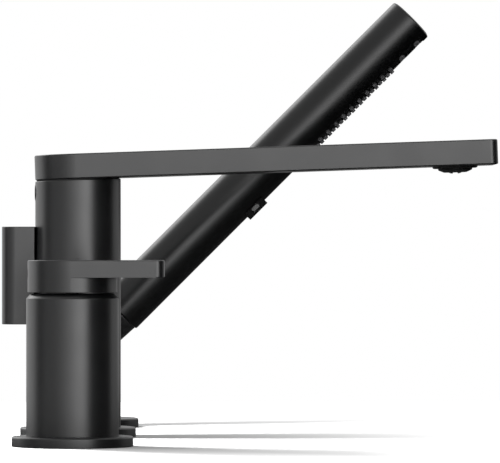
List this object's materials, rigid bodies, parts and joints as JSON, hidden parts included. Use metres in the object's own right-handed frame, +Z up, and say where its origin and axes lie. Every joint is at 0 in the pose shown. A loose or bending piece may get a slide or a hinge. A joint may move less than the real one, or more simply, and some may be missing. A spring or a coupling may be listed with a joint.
{
  "type": "deck-mounted bath filler set",
  "caption": "Deck-mounted bath filler: lever mixer on a round body, long flat spout on a column with a rear diverter handle, and a slim stick hand shower leaning in its holder.",
  "frame": {"origin": "on the spout column's axis, in the plane of the deck", "axes": "+X along the spout away from the diverter handle, +Y from the mixer towards the hand shower, +Z up from the deck"},
  "size_m": [0.2777, 0.339, 0.303],
  "materials": {
    "matt_black": "fine satin black powder coat",
    "bare_brass": "turned",
    "steel": "turned",
    "black_rubber": "moulded",
    "nozzle_silicone": "soft and matt",
    "white_ceramic": "lapped flat",
    "pale_plastic": "moulded",
    "grey_plastic": "moulded",
    "black_plastic": "moulded"
  },
  "bodies": {
    "fixed_set": {"rosette_mixer": "matt_black", "rosette_spout": "matt_black", "rosette_shower": "matt_black", "shank_mixer": "bare_brass", "shank_spout": "bare_brass", "shank_shower": "bare_brass", "flange_gaskets": "black_rubber", "rubber_washers": "black_rubber", "steel_washers": "steel", "shank_nuts": "bare_brass", "mixer_body": "matt_black", "port_bushes": "bare_brass", "port_seals": "black_rubber", "cartridge_housing": "pale_plastic", "fixed_disc": "white_ceramic", "ring_nut": "bare_brass", "cover_ring": "matt_black", "column_base": "matt_black", "spout_column": "matt_black", "column_tubes": "bare_brass", "riser_tube": "bare_brass", "valve_body": "bare_brass", "valve_fixed_disc": "white_ceramic", "valve_gland": "bare_brass", "valve_bush": "bare_brass", "arm_gasket": "black_rubber", "arm_spigot": "bare_brass", "spigot_orings": "black_rubber", "spout_arm": "matt_black", "lock_screw": "steel", "lock_plug": "matt_black", "aerator_collar": "matt_black", "aerator_insert": "black_plastic", "holder_tube": "matt_black", "holder_socket": "matt_black"},
    "swivel": {"cartridge_rotor": "grey_plastic", "pivot_pin": "steel"},
    "lever": {"lever_stem": "steel", "lever_handle": "matt_black", "lever_grub_screw": "steel", "lever_plug": "black_plastic"},
    "disc": {"moving_disc": "white_ceramic", "disc_driver": "grey_plastic"},
    "diverter": {"valve_turning_disc": "white_ceramic", "valve_stem": "bare_brass", "diverter_handle": "matt_black", "diverter_screw": "steel"},
    "liner": {"turning_liner": "black_plastic"},
    "handset": {"inlet_spigot": "black_plastic", "check_valve": "pale_plastic", "water_tubes": "pale_plastic", "stick_tube": "matt_black", "spray_manifold": "pale_plastic", "nozzle_mat": "nozzle_silicone", "spray_plate": "matt_black", "end_cap": "matt_black", "button_block": "matt_black", "shutter_body": "pale_plastic"},
    "pause_bar": {"push_bar": "black_plastic", "shutter_plate": "pale_plastic"}
  },
  "joints": [
    {"name": "lever_swivel", "type": "hinge", "parent": "fixed_set", "child": "swivel", "pos_m": [0, -0.13, 0.06202], "axis": [0, 0, 1], "range_deg": [-45, 45]},
    {"name": "lever_lift", "type": "hinge", "parent": "swivel", "child": "lever", "pos_m": [0, -0.13, 0.06202], "axis": [0, -1, 0], "range_deg": [0, 20]},
    {"name": "disc_slide", "type": "slide", "parent": "swivel", "child": "disc", "axis": [1, 0, 0], "range_m": [0, 0.0023]},
    {"name": "diverter_turn", "type": "hinge", "parent": "fixed_set", "child": "diverter", "pos_m": [-0.024, 0, 0.0906], "axis": [1, 0, 0], "range_deg": [0, 90]},
    {"name": "handset_turn", "type": "hinge", "parent": "fixed_set", "child": "liner", "pos_m": [0.01556, 0.145, 0.06296], "axis": [0.7071, 0, 0.7071], "continuous": true},
    {"name": "handset_lift", "type": "slide", "parent": "liner", "child": "handset", "axis": [0.7071, 0, 0.7071], "range_m": [0, 0.08]},
    {"name": "pause_push", "type": "slide", "parent": "handset", "child": "pause_bar", "axis": [0, -1, 0], "range_m": [0, 0.0036]}
  ],
  "couplings": [
    {"joint": "disc_slide", "follows": "lever_lift", "m_per_rad": 0.0065648}
  ]
}
